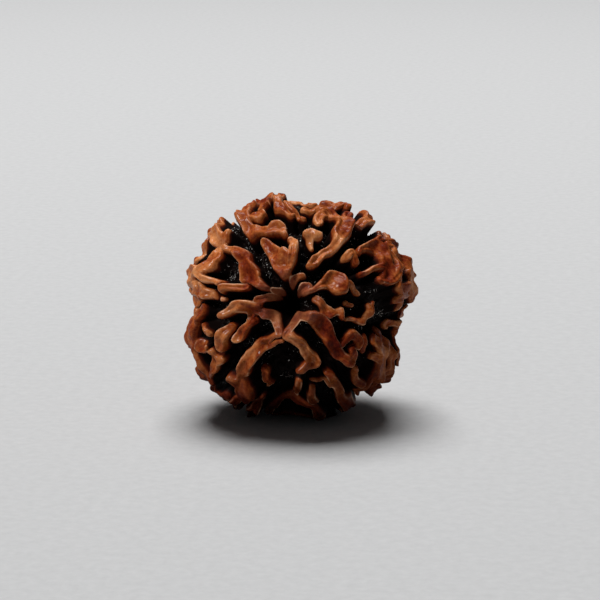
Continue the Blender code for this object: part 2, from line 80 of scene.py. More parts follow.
LIP_SLOPE = 0.7 * MM  # and in full after this much more
WAVER = 0.11 * MM  # how far a ridge wanders from its drawn place
WAVER_PITCH = 2.6 * MM
EDGE_WAVER = 0.24 * WAVER  # how far its edges do by themselves
EDGE_PITCH = 1.1 * MM
JOIN_SOFTNESS = 0.11 * MM  # how softly neighbouring ridges run together
TOP_SOFTNESS = 0.25 * MM  # how softly their heights do
RIDGE_REACH = 1.6 * MM  # how far outside its edge a ridge still counts
CROWN = 0.24 * MM  # how far a crest is rounded off at its edge
CROWN_REACH = 0.20 * MM  # over about this far from that edge
DISH = 0.24 * MM  # how far it is hollowed behind that
DISH_FROM = 0.13 * MM  # starting this far inside the edge
DISH_SLOPE = 0.38 * MM  # and full after this much more
FLOOR_GRAIN = ((11, 0.9, 0.09), (12, 0.5, 0.05))  # seed, pitch and height of its waves, mm
CREST_GRAIN = ((6, 1.7, 0.12), (13, 0.9, 0.02))
DULL_FROM = 9.0  # degrees from the mouth's axis to where the crests begin to be handled
DULL_OVER = 14.0  # and on to where they are quite polished
LOBES_FROM = 0.70  # distance from the channel's axis, in radii, where the girth's swellings start
LOBES_OVER = 0.25  # and how much further out they are full

# The furrows that give the bead its four faces: degrees round the mouth
FURROWS = (48.0, 128.0, 226.0, 305.0)

# Swellings and hollows round the bead's girth: degrees round the mouth, mm outward, spread
LOBES = (
    (17, 0.45, 12),
    (-12, -1.80, 12),
    (-50, 0.10, 9),
    (-72, 0.50, 9),
    (-90, -0.90, 18),
    (-111, 0.75, 9),
    (-132, 0.75, 11),
    (-163, 0.45, 9),
    (-178, -0.80, 7),
    (165, 0.25, 8),
    (134, 0.70, 7),
    (110, -0.30, 11),
    (84, -1.10, 10),
    (64, -0.40, 8),
)

# Ridges of the mouth side, as (height share, places). A place is degrees right of the
# mouth and above it, measured over the surface, and half the crest's width in mm.
RIDGES = (
    # North face, left of its middle
    (1.00, ((-14.6, 34.5, 0.55), (-11.6, 31, 0.66), (-8, 25.5, 0.86), (-4.8, 20.5, 0.75),
            (-3, 16.5, 0.40))),
    (1.00, ((-0.8, 37.4, 0.28), (1.5, 34, 0.42), (2, 29, 0.52), (1.8, 24, 0.60), (0.5, 19.5, 0.50),
            (0, 16.5, 0.32))),
    (0.97, ((-3.5, 26, 0.85), (-2.2, 20.5, 0.80))),
    (1.00, ((-25.4, 44, 0.85), (-20.5, 43.8, 0.76), (-14.5, 42.4, 0.48), (-9.8, 43.6, 0.62),
            (-7, 41.8, 0.48), (-4.4, 39, 0.24))),
    (1.00, ((-25, 41, 0.60), (-31, 50, 0.68), (-36, 58, 0.75), (-42, 67, 0.80), (-49, 77, 0.80))),
    (1.00, ((-31, 55, 0.60), (-27, 55.5, 0.58), (-23.5, 55.3, 0.85))),
    (1.00, ((-11, 61.6, 0.60), (-5.8, 56, 0.46), (-2.2, 52.6, 0.32))),
    (0.96, ((-8, 69, 0.40), (-0.6, 61.9, 0.38), (3.6, 55.9, 0.34), (4.8, 52.5, 0.28))),
    (1.00, ((-12, 63, 0.42), (-15, 71, 0.42), (-17, 82, 0.50))),
    (1.00, ((-23, 65, 0.46), (-28, 74, 0.80), (-31, 85, 0.90))),
    # North face, right of its middle
    (1.00, ((12, 22, 0.26), (14.6, 25, 0.54), (18.6, 28.8, 0.60), (23.6, 33.4, 0.52),
            (26.5, 39.5, 0.78), (29, 46, 1.08), (30, 51, 1.04))),
    (1.00, ((30, 52, 0.86), (24.5, 54.3, 0.58), (18.8, 57.4, 0.70), (14.6, 55.2, 0.62),
            (14.2, 51, 0.52))),
    (0.92, ((8.2, 41.8, 0.34), (11, 41.2, 0.48), (14.4, 40, 0.38))),
    (0.60, ((11, 39, 0.30), (12, 33, 0.22))),
    (0.97, ((16, 63.5, 0.55), (21, 65, 0.65), (25, 60.5, 0.45))),
    (0.95, ((31.5, 58.5, 0.46), (33, 62, 0.58))),
    (0.80, ((38, 53.5, 0.40), (42.5, 54, 0.45))),
    (1.00, ((43, 55, 0.42), (46, 60, 0.72), (50, 69, 0.85))),
    (0.50, ((1.6, 13.2, 0.36), (5, 14.2, 0.36), (8.8, 16.2, 0.28))),
    # East face, beside the mouth
    (0.55, ((6.4, 8.0, 0.36), (9.5, 9.4, 0.55), (12, 11, 0.40))),
    (0.98, ((10, 6.4, 0.30), (14.6, 8.2, 0.30), (20.4, 12.4, 0.64), (25.6, 13.8, 1.18),
            (28.3, 11.2, 1.16))),
    (0.72, ((16, 2.4, 0.40), (19, 0.6, 0.52), (22, -2.5, 0.66))),
    (0.92, ((22.5, -3.8, 0.66), (27, -3.3, 0.28), (29.8, -3.4, 0.30), (31, -5.6, 0.24))),
    (1.00, ((13, -6.6, 0.50), (17.5, -9, 0.92), (21, -14, 0.95), (24, -19.6, 0.72),
            (28.4, -25.6, 0.60), (32.4, -30, 0.55), (36, -31.3, 0.60), (37.8, -28.4, 0.42),
            (37, -25, 0.34))),
    (0.98, ((31, -21.6, 0.28), (34, -18.2, 0.42), (38, -17.8, 0.50), (41.2, -20.6, 0.50),
            (40.4, -23, 0.34))),
    (0.90, ((45.8, -18, 0.26), (45.4, -26.4, 0.28))),
    # East face, the ear
    (0.96, ((31, 27.2, 0.40), (34.4, 30, 0.46), (35.6, 26, 0.38))),
    (0.98, ((40, 33.2, 0.30), (45.5, 37.4, 0.60), (50.5, 40, 0.72), (56, 38.2, 0.80))),
    (1.00, ((55, 36.5, 0.70), (55.9, 30.5, 0.54), (57.8, 24.5, 0.70), (56, 19, 0.64),
            (52.8, 15.8, 0.36))),
    (0.98, ((56, 25, 0.48), (49.5, 22.9, 0.32), (43.6, 21, 0.24), (40, 20.2, 0.16))),
    (1.00, ((58, 39, 0.50), (63, 35.8, 0.45), (65.4, 30, 0.46), (64.6, 23.6, 0.50), (61.2, 19, 0.46),
            (57.5, 17.2, 0.36))),
    (0.90, ((54, 46, 0.40), (58, 50.5, 0.50), (64, 57, 0.60))),
    (0.92, ((62, 43.5, 0.45), (68, 43.5, 0.55))),
    # East face, the open middle and the rim
    (0.62, ((36.4, 14, 0.28), (38.6, 10.8, 0.24), (41.2, 8.6, 0.14))),
    (0.52, ((33.4, 1.4, 0.34), (36.4, 1, 0.24))),
    (0.66, ((34.6, -8, 0.12), (40, -9, 0.20), (45.2, -8.8, 0.28), (48.8, -5.6, 0.27),
            (50.4, -1, 0.22), (51, 3, 0.12))),
    (0.62, ((47.8, 0.4, 0.24), (48.8, -5, 0.24))),
    (0.94, ((64.4, 17.4, 0.28), (65.6, 13.6, 0.60), (71, 12, 0.70), (77, 13.4, 0.65))),
    (0.90, ((66, 5.6, 0.40), (71, 6, 0.62), (72.4, 1, 0.50))),
    (1.00, ((67, 38.6, 0.45), (73, 34.6, 0.80), (79, 27, 1.40), (83, 17, 1.15), (85, 8, 0.60))),
    # East face, below
    (0.98, ((52, -20, 0.38), (56.4, -23, 0.66), (60.4, -29.6, 0.88), (60.4, -37.6, 0.88),
            (56.8, -45.4, 0.76), (51.6, -51.6, 0.62), (46, -54.4, 0.42))),
    (0.85, ((52, -31, 0.42), (57, -33, 0.50))),
    (0.92, ((38.8, -37, 0.28), (40.6, -42, 0.36), (42.6, -47, 0.36), (45.2, -50, 0.34))),
    (0.96, ((58.6, -16.6, 0.30), (63.2, -23, 0.34), (66.4, -28.6, 0.34))),
    (1.00, ((63, -17, 0.40), (68.6, -27, 0.45), (70.6, -36, 0.55), (67.6, -44.6, 0.55),
            (63, -48.6, 0.45))),
    (0.98, ((60, -54.6, 0.40), (66, -53, 0.52), (73, -48, 0.60))),
    (0.92, ((44, -58.6, 0.36), (50, -61, 0.58), (57, -60, 0.50))),
    # South face, round the mouth and its right bank
    (0.80, ((0.2, -16, 0.40), (2.8, -12, 0.46), (6.4, -8.2, 0.42), (12, -6.6, 0.46))),
    (1.00, ((0.4, -16.4, 0.42), (4, -18.8, 0.52), (8, -23.6, 0.62), (12, -29, 0.72),
            (14.6, -33.4, 0.74))),
    (0.86, ((14, -34, 0.60), (10.4, -36.4, 0.36), (6.8, -37.8, 0.20))),
    (0.96, ((22, -39, 0.22), (26, -43.4, 0.46), (28.6, -48.6, 0.52), (30.4, -54, 0.48),
            (34.4, -59.4, 0.62), (38, -66, 0.62), (40, -75, 0.60))),
    (0.80, ((22, -44.4, 0.20), (25.6, -47, 0.32))),
    (0.55, ((13.4, -45.8, 0.14), (20, -45.6, 0.16))),
    # South face, its left bank
    (0.96, ((-4.6, -16, 0.28), (-9.8, -19.6, 0.36), (-13.6, -22.8, 0.68), (-17.6, -27.2, 0.72),
            (-22, -31.8, 0.76), (-25.2, -37, 0.70), (-26.8, -39.6, 0.50))),
    (0.92, ((-12, -24.2, 0.42), (-8, -23.6, 0.32), (-4.6, -21, 0.26), (-2.6, -20, 0.20))),
    (0.96, ((-36, -45, 0.42), (-32, -46.4, 0.58), (-27.6, -48, 0.82), (-26.8, -53, 0.88),
            (-28, -57.2, 0.58))),
    (0.90, ((-28, -42.6, 0.42), (-28, -47, 0.55))),
    (0.72, ((-13, -41, 0.56), (-12.2, -44.6, 0.38), (-10.6, -48, 0.28), (-13, -51, 0.16))),
    # South face, below
    (0.94, ((-20, -79, 0.40), (-15, -72, 0.40), (-9, -66.6, 0.36), (-2, -63.8, 0.40),
            (5, -63.4, 0.46), (12, -65, 0.50), (16.4, -69.4, 0.50), (19, -78, 0.50))),
    (0.66, ((4.4, -60, 0.34), (5.4, -52, 0.30), (6.2, -46, 0.20))),
    (0.74, ((14.6, -61, 0.42), (13.4, -55, 0.40), (14, -50.4, 0.28))),
    (0.88, ((-18, -57, 0.30), (-22, -64, 0.50), (-28, -73, 0.60), (-34, -84, 0.60))),
    (0.90, ((-36, -60, 0.45), (-42, -66, 0.60), (-46, -74, 0.60))),
    (0.92, ((-42, -57, 0.40), (-50, -60, 0.55), (-57, -62, 0.60))),
    # West face, beside the mouth
    (0.80, ((-18.4, -3.6, 0.42), (-14.6, -6.2, 0.46), (-9.6, -7.6, 0.46), (-6, -10.4, 0.46),
            (-4.4, -14.6, 0.42))),
    (0.42, ((-9, 4.6, 0.30), (-13.6, 3.4, 0.50), (-17.6, 3.0, 0.50))),
    (0.40, ((-6.4, 8.6, 0.30), (-9.4, 7.6, 0.42))),
    (1.00, ((-17, -1, 0.36), (-20.4, -1.6, 0.50), (-25, -2.9, 0.64), (-29.6, -3.4, 0.58),
            (-33.2, -5.6, 0.36), (-36.4, -7.2, 0.24))),
    (0.98, ((-20.4, -11, 0.42), (-23.8, -13.8, 0.57), (-27, -17.4, 0.58), (-29, -19.6, 0.50))),
    (0.62, ((-21.6, -5.6, 0.50), (-23, -10, 0.50))),
    (0.98, ((-32.2, -13.4, 0.32), (-35.2, -17, 0.54), (-38, -21.4, 0.72), (-39, -25.2, 0.58))),
    (0.96, ((-45.6, -30, 0.40), (-45.8, -35.2, 0.70), (-47.6, -40.4, 0.60), (-50.6, -44.4, 0.36))),
    (0.88, ((-41, -33.4, 0.36), (-44, -33.6, 0.36))),
    # West face, the bank of the furrow above it
    (1.00, ((-12.6, 8.6, 0.20), (-17, 11.6, 0.56), (-21.2, 15.6, 0.92), (-25, 20, 0.92),
            (-27.6, 25.6, 0.72), (-31.6, 30, 0.56), (-38, 32.4, 0.36), (-43, 34, 0.36), (-46, 38, 0.42))),
    (0.97, ((-26.2, 13.4, 0.40), (-24.4, 17, 0.60))),
    (0.98, ((-35, 7.2, 0.36), (-30, 7.7, 0.44), (-24.8, 9.6, 0.44))),
    (1.00, ((-46, 39, 0.42), (-41.4, 40.4, 0.56))),
    (1.00, ((-49.6, 34, 0.52), (-50.2, 28.2, 1.04), (-49.8, 23.2, 0.84), (-54.2, 18, 0.44),
            (-57.2, 15.4, 0.34))),
    (1.00, ((-47.6, 40.6, 0.55), (-52, 41, 0.85), (-56.4, 49, 0.92), (-60, 58, 0.80))),
    (0.98, ((-57, 15.6, 0.38), (-52, 14.6, 0.40), (-47, 12.6, 0.34), (-42, 10.8, 0.28),
            (-36.6, 10.2, 0.24))),
    (0.96, ((-53.8, 9.6, 0.30), (-53, 6.8, 0.50), (-50, 4.4, 0.58), (-46, 3, 0.46), (-43.2, 2.6, 0.22))),
    (0.55, ((-40, 2.4, 0.16), (-36.6, 2.8, 0.14))),
    # West face, the rim
    (0.98, ((-53.6, -5, 0.58), (-58.6, -10, 0.92), (-64.6, -17, 0.92), (-66.2, -26, 0.94),
            (-64.6, -34, 0.78))),
    (0.88, ((-50.6, -14.4, 0.42), (-47.4, -17.4, 0.44))),
    (0.88, ((-52, -27.6, 0.30), (-59, -28.4, 0.60))),
    (0.97, ((-64.6, -34, 0.72), (-61, -40, 0.60), (-57.2, -46, 0.52), (-53.6, -50.4, 0.38))),
    (0.94, ((-61.6, -52, 0.46), (-69, -50, 0.60))),
    (0.98, ((-60, 57, 0.36), (-65.6, 49, 0.62), (-70.4, 41, 0.80), (-72, 33, 0.62))),
    (0.98, ((-59, 20, 0.44), (-66, 17.6, 0.86), (-74, 17, 0.90))),
    (0.94, ((-57.6, 3, 0.46), (-62, 8, 0.72), (-70, 9, 0.60))),
    (0.96, ((-74.4, -12, 0.42), (-79, -19, 0.76), (-77.4, -28, 0.56))),
    # Foot, a broken ring round the weight for the bead to rest on
    (1.00, ((-22, -96, 0.50), (-11, -91.5, 0.75), (6, -90.5, 0.80), (19, -94, 0.85), (27, -102, 0.80),
            (23, -111, 0.60))),
    (1.00, ((10.5, -117, 0.60), (1, -118, 0.80), (-13, -116, 0.85), (-24, -109, 0.85),
            (-28, -101, 0.60))),
    (1.00, ((-2, -92, 0.50), (-5, -101, 0.65), (4, -108, 0.60), (8, -112, 0.40))),
)

# The banks of the furrows past the drawn ridges, broken into lengths: degrees from the mouth
BANK_START = (84.0, 92.0)
BANK_LENGTH = (22.0, 44.0)
BANK_BREAK = (7.0, 12.0)
BANK_LAST = 160.0  # the last length starts before this
BANK_END = 168.0  # and none runs on past this
BANK_OFFSET = 1.5 * MM  # from the furrow's middle to the middle of a bank
BANK_WANDER = (-0.25, 0.45)  # more or less than that, mm
BANK_HALVES = (0.34, 0.72)  # half widths, mm

# The net of ridges on the side away from the mouth
NET_SEED = 44
NET_PLACES = 380  # over a whole sphere, of which the bare part keeps its share
NET_FROM = 52.0  # degrees from the mouth at which the net may start
NET_JITTER = 0.06  # in radii
NET_CLEAR = 1.75 * MM  # between its places and the drawn ridges
FURROW_CLEAR = 1.6 * MM  # between its places and a furrow's middle
NET_REACH = 2.9 * MM  # longest ridge of the net
NET_KEPT = 0.58  # share of the possible ridges that grew
NET_BEND = 0.05  # how far the middle of one bends aside, in radii
NET_THINNEST = (0.30, 0.26, 0.30)  # half widths at its start, middle and end, mm
NET_WIDEST = (0.66, 0.52, 0.66)
KNOB_HALVES = (0.35, 0.65)  # half widths of a knob that stands alone, mm
KNOB_LENGTH = 0.07  # in radii


def smooth(share):
    """The S-shaped step from 0 to 1 as share goes from 0 to 1."""
    share = np.clip(share, 0.0, 1.0)
    return share * share * (3.0 - 2.0 * share)


def unit(vectors):
    """Each vector divided by its own length."""
    return vectors / np.linalg.norm(vectors, axis=-1, keepdims=True)


def around_axis(reach, turn):
    """The direction at an angle of reach from the mouth's axis, turned round that axis."""
    return np.stack([np.sin(reach) * np.cos(turn), np.sin(reach) * np.sin(turn), np.cos(reach)], -1)


def on_sphere(right, up):
    """The direction that lies so many degrees right of the mouth and above it, over the surface."""
    reach = np.radians(np.hypot(right, up))
    return around_axis(reach, np.arctan2(up, right))


def swept(places, halves, step=0.45 * MM):
    """Directions and half widths along a smooth line through all the places.

    Each stretch is the cubic whose slope at a place is half the step between its two
    neighbours, put back on the sphere.
    """
    rows = np.column_stack([places, halves])
    rows = np.vstack([2 * rows[0] - rows[1], rows, 2 * rows[-1] - rows[-2]])
    pieces = []
    for a, b, c, d in zip(rows, rows[1:], rows[2:], rows[3:]):
        count = max(2, int(np.linalg.norm(c[:3] - b[:3]) * MEAN_RADIUS / step))
        t = np.linspace(0.0, 1.0, count, endpoint=False)[:, None]
        pieces.append(
            0.5
            * (2 * b + (c - a) * t + (2 * a - 5 * b + 4 * c - d) * t**2 + (3 * b - 3 * c + d - a) * t**3)
        )
    pieces.append(rows[-2:-1])
    line = np.vstack(pieces)
    return unit(line[:, :3]), line[:, 3]


def drawn_ridges():
    """The ridges of the table, as (directions, half widths in metres, height share)."""
    made = []
    for share, places in RIDGES:
        table = np.array(places, float)
        made.append((*swept(on_sphere(table[:, 0], table[:, 1]), CREST_SHARE * table[:, 2] * MM), share))
    return made


def furrow_gap(directions):
    """Distance over the surface to the middle of the nearest furrow, which runs from mouth to tail."""
    gaps = []
    for turn in np.radians(FURROWS):
        beside = directions @ np.array([-math.sin(turn), math.cos(turn), 0.0])
        ahead = directions @ np.array([math.cos(turn), math.sin(turn), 0.0])
        gaps.append(np.where(ahead > 0, np.abs(beside), 9.0))
    return np.min(gaps, axis=0) * MEAN_RADIUS


def face_number(directions):
    """Which of the four faces a direction is on."""
    turn = np.degrees(np.arctan2(directions[:, 1], directions[:, 0])) % 360.0
    return np.searchsorted(FURROWS, turn) % len(FURROWS)


def bank_ridges(draw):
    """Broken ridges along both sides of each furrow, from beside the drawn ridges to the tail."""
    made = []
    for furrow in FURROWS:
        for side in (-1, 1):
            start = draw.uniform(*BANK_START)
            while start < BANK_LAST:
                end = min(start + draw.uniform(*BANK_LENGTH), BANK_END)
                along = np.radians(np.linspace(start, end, 6))
                offset = BANK_OFFSET + draw.uniform(*BANK_WANDER, 6) * MM
                turn = math.radians(furrow) + side * offset / (MEAN_RADIUS * np.sin(along))
                halves = draw.uniform(*BANK_HALVES, 6) * MM
                made.append((*swept(around_axis(along, turn), halves), draw.uniform(0.90, 1.0)))
                start = end + draw.uniform(*BANK_BREAK)
    return made


def net_ridges(draw, others):
    """Short bent ridges between neighbours of a jittered spiral of places, where nothing else grows.

    A place without such a neighbour gets a knob.
    """
    count = np.arange(NET_PLACES)
    height = 1.0 - (2.0 * count + 1.0) / NET_PLACES
    turn = count * math.pi * (3.0 - math.sqrt(5.0))
    flat = np.sqrt(1.0 - height**2)
    places = np.stack([flat * np.cos(turn), flat * np.sin(turn), height], -1)
    places = unit(places + draw.normal(0.0, NET_JITTER, places.shape))
    taken = np.vstack([line for line, _, _ in others])
    near = np.degrees(np.arccos(np.clip(places @ taken.T, -1, 1))).min(axis=1)
    free = near > math.degrees(NET_CLEAR / MEAN_RADIUS)
    free &= places[:, 2] < math.cos(math.radians(NET_FROM))
    free &= furrow_gap(places) > FURROW_CLEAR
    places = places[free]
    faces = face_number(places)
    gaps = np.arccos(np.clip(places @ places.T, -1, 1)) * MEAN_RADIUS
    made = []
    for a in range(len(places)):
        lone = True
        for b in np.argsort(gaps[a])[1:5]:
            if b < a and not lone:
                continue
            if gaps[a, b] > NET_REACH or faces[a] != faces[b] or draw.random() > NET_KEPT:
                continue
            lone = False
            middle = unit(places[a] + places[b] + draw.normal(0.0, NET_BEND, 3))
            halves = draw.uniform(NET_THINNEST, NET_WIDEST) * MM
            line = swept(np.stack([places[a], middle, places[b]]), halves)
            made.append((*line, draw.uniform(0.86, 1.0)))
        if lone:
            halves = draw.uniform(*KNOB_HALVES, 2) * MM
            beside = unit(places[a] + draw.normal(0.0, KNOB_LENGTH, 3))
            made.append((*swept(np.stack([places[a], beside]), halves), draw.uniform(0.80, 1.0)))
    return made


def all_ridges():
    """The drawn ridges, the banks of the furrows and the net, in the order in which they are drawn."""
    draw = np.random.default_rng(NET_SEED)
    ridges = drawn_ridges()
    ridges += bank_ridges(draw)
    return ridges + net_ridges(draw, ridges)


def waves(directions, seed, pitch, count=24):
    """Smooth noise of about unit size: a sum of plane waves in seeded directions, pitch long."""
    draw = np.random.default_rng(seed)
    ways = unit(draw.normal(size=(count, 3))) * draw.uniform(0.7, 1.4, (count, 1))
    phases = draw.uniform(0.0, 2 * math.pi, count)
    turns = directions @ ways.T * (2 * math.pi * MEAN_RADIUS / pitch) + phases
    return np.cos(turns).sum(axis=1) * math.sqrt(2.0 / count)


def wavered(directions):
    """The same directions pushed a little to and fro, so that no ridge keeps an even edge.

    Long waves move a ridge, and shorter ones bend its edges.
    """
    push = [
        WAVER * waves(directions, 31 + axis, WAVER_PITCH)
        + EDGE_WAVER * waves(directions, 41 + axis, EDGE_PITCH)
        for axis in range(3)
    ]
    return unit(directions + np.stack(push, -1) / MEAN_RADIUS)


def ridge_field(directions, ridges):
    """For each direction: distance outside the nearest crest's edge, height share, and the way outward.

    The distance is the soft least over the ridges, -s log(sum(exp(-gap / s))), where a gap is
    the distance to a ridge's line less its half width there. The other two are means, weighted
    by exp(-gap / s).
    """
    weight = np.full(len(directions), 1e-30)
    top_weight = np.full(len(directions), 1e-30)
    top = np.zeros(len(directions))
    away = np.zeros_like(directions)
    for line, halves, share in ridges:
        middle = unit(line.mean(axis=0))
        widest = np.arccos(np.clip(line @ middle, -1, 1)).max() + (halves.max() + RIDGE_REACH) / MEAN_RADIUS
        close = np.flatnonzero(directions @ middle > math.cos(min(widest, math.pi)))
        if not len(close):
            continue
        starts, spans = line[:-1], np.diff(line, axis=0)
        along = (directions[close] @ spans.T - (starts * spans).sum(axis=1)) / (spans**2).sum(axis=1)
        along = np.clip(along, 0.0, 1.0)
        offset = directions[close][:, None, :] - starts - along[:, :, None] * spans
        half = halves[:-1] + along * np.diff(halves)
        gaps = np.linalg.norm(offset, axis=2) * MEAN_RADIUS - half
        nearest = gaps.argmin(axis=1)
        rows = np.arange(len(close))
        gap, offset, half = gaps[rows, nearest], offset[rows, nearest], half[rows, nearest]
        offset *= MEAN_RADIUS / np.maximum(half, np.linalg.norm(offset, axis=1) * MEAN_RADIUS)[:, None]
        pull = np.exp(-gap / JOIN_SOFTNESS)
        weight[close] += pull
        away[close] += pull[:, None] * offset
        pull = np.exp(-gap / TOP_SOFTNESS)
        top_weight[close] += pull
        top[close] += pull * share
    return -JOIN_SOFTNESS * np.log(weight), top / top_weight, away / weight[:, None]


def from_mouth(directions):
    """Degrees between each direction and the mouth's axis."""
    return np.degrees(np.arccos(np.clip(directions[:, 2], -1, 1)))


def envelope(directions):
    """Radius that the crests reach: an ellipsoid, waisted along each furrow and lobed round its girth."""
    halves = np.array([WIDTH, HEIGHT, LENGTH]) / 2
    radius = 1.0 / np.linalg.norm(directions / halves, axis=1)
    waist = np.exp(-((furrow_gap(directions) / WAIST_WIDTH) ** 2))
    turn = np.degrees(np.arctan2(directions[:, 1], directions[:, 0]))
    lobes = sum(
        out * np.exp(-((((turn - middle + 180.0) % 360.0 - 180.0) / spread) ** 2))
        for middle, out, spread in LOBES
    )
    girth = smooth((np.hypot(directions[:, 0], directions[:, 1]) - LOBES_FROM) / LOBES_OVER)
    return radius - WAIST_DEPTH * waist + girth * lobes * MM + UNEVEN * waves(directions, 3, UNEVEN_PITCH)


def mouth_drop(directions):
    """How far the surface falls away into the mouth, and into the smaller tail."""
    reach = from_mouth(directions)
    mouth = MOUTH_DEPTH * (1.0 - smooth((reach - MOUTH_FALL[0]) / MOUTH_FALL[1]))
    tail = TAIL_DEPTH * (1.0 - smooth((180.0 - reach - TAIL_FALL[0]) / TAIL_FALL[1]))
    return mouth + tail


def bead_axes():
    """Rows: where the bead's right, up and mouth directions point as it lies."""
    tilt = MOUTH_TILT
    return np.array(
        [[1.0, 0.0, 0.0], [0.0, math.sin(tilt), math.cos(tilt)], [0.0, -math.cos(tilt), math.sin(tilt)]]
    )


def steady(directions):
    """0 on the worn spot under the bead, 1 beyond it."""
    return smooth((1.0 - directions @ -bead_axes()[:, 2] - FOOT_CALM) / FOOT_CALM)


def bead_surface(directions, ridges):
    """Points of the bead's skin in its own axes (right, up, towards the mouth), in metres.

    Radius = crest envelope - fall into the mouth - depth of the floor, raised by the S-shaped
    wall of the nearest ridge. A crest leans out over its wall. The distance outside its edge,
    the wall's share and the way outward come back too.
    """
    gap, share, away = ridge_field(wavered(directions), ridges)
    wall = smooth((WALL_FOOT - gap) / (WALL_FOOT + WALL_TOP))
    crest = share * (1.0 + steady(directions) * CREST_UNEVEN * waves(directions, 5, CREST_PITCH))
    girth = smooth((from_mouth(directions) - SHALLOWER_FROM) / SHALLOWER_OVER)
    floor = RIDGE_HEIGHT * (1.0 - SHALLOWER * girth)
    floor = floor * (1.0 + FLOOR_UNEVEN * waves(directions, 7, FLOOR_PITCH))
    floor = floor + SEAM_HEIGHT * np.exp(-((furrow_gap(directions) / SEAM_WIDTH) ** 2))
    radius = envelope(directions) - mouth_drop(directions) - floor
    radius = radius + wall * (floor - RIDGE_HEIGHT * (1.0 - crest))
    lean = LIP * wall * wall * smooth((gap + LIP_FROM) / LIP_SLOPE)
    outward = away - (away * directions).sum(axis=1, keepdims=True) * directions
    return directions * radius[:, None] + outward * lean[:, None], gap, wall, outward


def stone_skin(directions, ridges):
    """The bead's surface with what is finer than its ridges, and the masks that its colours follow.

    A crest falls off exponentially at its edge and is dished behind it. Short waves roughen the
    floor, and longer, shallower ones run over the crests. The masks are the distance beyond the
    nearest crest's edge in mm, closeness to the mouth, and how far the way out of that crest
    points away from the mouth. The surface before all this comes back first.
    """
    plain, gap, wall, outward = bead_surface(directions, ridges)
    crown = CROWN * np.exp(np.minimum(gap, 0.0) / CROWN_REACH)
    crown = crown + DISH * smooth((-gap - DISH_FROM) / DISH_SLOPE)
    rough, soft = (
        sum(height * waves(directions, seed, pitch * MM) for seed, pitch, height in grain)
        for grain in (FLOOR_GRAIN, CREST_GRAIN)
    )
    worn = wall * steady(directions)
    skin = plain + directions * (((1.0 - wall) * rough + worn * soft) * MM - worn * crown)[:, None]
    tailward = unit(directions[:, 2:] * directions - np.array([0.0, 0.0, 1.0]))
    masks = {
        "beyond": np.clip(gap / MM, -1.0, 1.0),
        "mouth": 1.0 - smooth((from_mouth(directions) - DULL_FROM) / DULL_OVER),
        "outer": (outward * tailward).sum(axis=1),
    }
    return plain, skin, masks


# The grid of points that a face is made of
TURN_STEP = 0.42  # degrees round the channel from one to the next
ROWS = 380  # of them from the rim of the mouth to the rim of the tail
CHANNEL_ROWS = 8  # and back through the channel
MOUTH_RIM = math.radians(7.4)  # half the angle that the channel takes up at the mouth
TAIL_RIM = math.radians(6.6)
CHANNEL_NARROWING = 0.35  # share of its width that the channel loses halfway
CHANNEL_BEND = 0.45 * MM  # and how far aside it lies there


def face_grid(first, last, ridges):
    """One of the four faces, from furrow to furrow: a row of points round the channel's axis at each reach.

    The first rows run over the outside at even steps of angle. The last ones run back through
    the channel in straight lines from rim to rim, which half a sine wave draws in and bends aside.
    """
    turn = np.radians(np.linspace(first, last, int((last - first) / TURN_STEP) + 1))
    reach = np.linspace(MOUTH_RIM, math.pi - TAIL_RIM, ROWS)
    directions = around_axis(*np.meshgrid(reach, turn, indexing="ij")).reshape(-1, 3)
    plain, skin, masks = stone_skin(directions, ridges)
    skin = skin.reshape(ROWS, len(turn), 3)
    share = (np.arange(1, CHANNEL_ROWS + 1) / (CHANNEL_ROWS + 1))[:, None, None]
    channel = (1.0 - share) * skin[-1] + share * skin[0]
    channel[:, :, :2] *= 1.0 - CHANNEL_NARROWING * np.sin(math.pi * share)
    channel[:, :, 0] += CHANNEL_BEND * np.sin(math.pi * share[:, :, 0])
    inside = np.full(CHANNEL_ROWS * len(turn), 1.0)
    masks = {name: np.concatenate([mask, inside]) for name, mask in masks.items()}
    return plain, np.concatenate([skin, channel]).reshape(-1, 3), masks, len(turn)


def face_quads(rows, turns):
    """Corner numbers of the quads between each row and the next, the last row joining the first."""
    here = np.arange(rows * turns).reshape(rows, turns)
    below = np.roll(here, -1, axis=0)
    return np.stack([here[:, :-1], below[:, :-1], below[:, 1:], here[:, 1:]], -1).reshape(-1, 4)


def mesh_piece(name, places, corners, masks, material):
    """A smooth-shaded piece from points, each face's corner numbers and masks, riding the bead.

    The points are turned to the way the bead lies and kept inside the bead's box.
    """
    places = np.clip(places @ bead_axes() - middle, box_low, box_high)
    mesh = bpy.data.meshes.new(name)
    mesh.vertices.add(len(places))
    mesh.vertices.foreach_set("co", places.astype(np.float32).ravel())
    mesh.loops.add(corners.size)
    mesh.loops.foreach_set("vertex_index", corners.astype(np.int32).ravel())
    mesh.polygons.add(len(corners))
    mesh.polygons.foreach_set("loop_start", np.arange(0, corners.size, corners.shape[1], dtype=np.int32))
    mesh.update(calc_edges=True)
    mesh.validate()
    mesh.shade_smooth()
    for mask, values in masks.items():
        layer = mesh.attributes.new(mask, "FLOAT", "POINT")
        layer.data.foreach_set("value", np.asarray(values, np.float32))
    mesh.materials.append(material)
    piece = bpy.data.objects.new(name, mesh)
    bpy.context.scene.collection.objects.link(piece)
    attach(piece, "root")
    return piece


def add(tree, kind, settings=None, sockets=None, **wires):
    """A node with its settings and socket values; wires name an input and the output that feeds it."""
    node = tree.nodes.new("ShaderNode" + kind)
    for name, value in (settings or {}).items():
        setattr(node, name, value)
    for name, value in (sockets or {}).items():
        node.inputs[name].default_value = value
    for name, output in wires.items():
        tree.links.new(output, node.inputs[name.replace("_", " ")])
    return node


